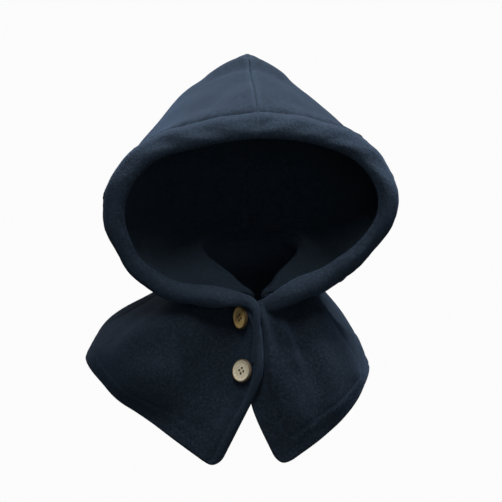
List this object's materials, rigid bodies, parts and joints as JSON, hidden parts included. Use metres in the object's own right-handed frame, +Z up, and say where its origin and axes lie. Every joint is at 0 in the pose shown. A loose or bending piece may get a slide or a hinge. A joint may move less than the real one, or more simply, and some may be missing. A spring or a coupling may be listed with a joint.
{
  "type": "balaclava",
  "caption": "Hooded fleece balaclava: wide face opening with a folded band, narrow neck seam and a short flared cape closed in front by wooden buttons.",
  "frame": {"origin": "centre of the neck ring, where the wearer's neck holds the balaclava up", "axes": "+Z up towards the crown, -Y out of the face opening, +X towards the wearer's left"},
  "size_m": [0.289, 0.228, 0.3574],
  "materials": {
    "fleece_outer": "brushed anti-pill fleece",
    "fleece_band": "brushed anti-pill fleece",
    "fleece_lining": "brushed anti-pill fleece",
    "fleece_facing": "brushed anti-pill fleece",
    "navy_thread": "twisted polyester sewing thread",
    "button_wood": "turned wood, lightly waxed, darker at the rim"
  },
  "bodies": {
    "cape": {"neck_tape": "fleece_facing", "cape_front_right": "fleece_outer", "cape_front_left": "fleece_outer", "cape_back": "fleece_outer", "front_facing_right": "fleece_facing", "front_facing_left": "fleece_facing", "hem_right": "fleece_facing", "hem_left": "fleece_facing", "hem_back": "fleece_facing", "buttonhole_upper": "navy_thread", "buttonhole_lower": "navy_thread", "button_stay_upper": "fleece_facing", "button_stay_lower": "fleece_facing"},
    "hood": {"hood_outer_right": "fleece_outer", "hood_outer_left": "fleece_outer", "hood_lining_right": "fleece_lining", "hood_lining_left": "fleece_lining", "face_band_right": "fleece_band", "face_band_left": "fleece_band"},
    "upper_button": {"button_upper": "button_wood", "button_thread_upper": "navy_thread"},
    "lower_button": {"button_lower": "button_wood", "button_thread_lower": "navy_thread"}
  },
  "joints": [
    {"name": "hood_tilt", "type": "hinge", "parent": "cape", "child": "hood", "pos_m": [0, 0.01, 0], "axis": [1, 0, 0], "range_deg": [-10, 4], "deforming": ["neck_tape"]},
    {"name": "upper_button_turn", "type": "hinge", "parent": "cape", "child": "upper_button", "pos_m": [-0.0164, -0.07248, -0.03381], "axis": [-0.8686, -0.483, 0.1104], "range_deg": [-30, 30]},
    {"name": "lower_button_turn", "type": "hinge", "parent": "cape", "child": "lower_button", "pos_m": [-0.01674, -0.08745, -0.08108], "axis": [-0.6799, -0.6684, 0.3018], "range_deg": [-30, 30]}
  ]
}
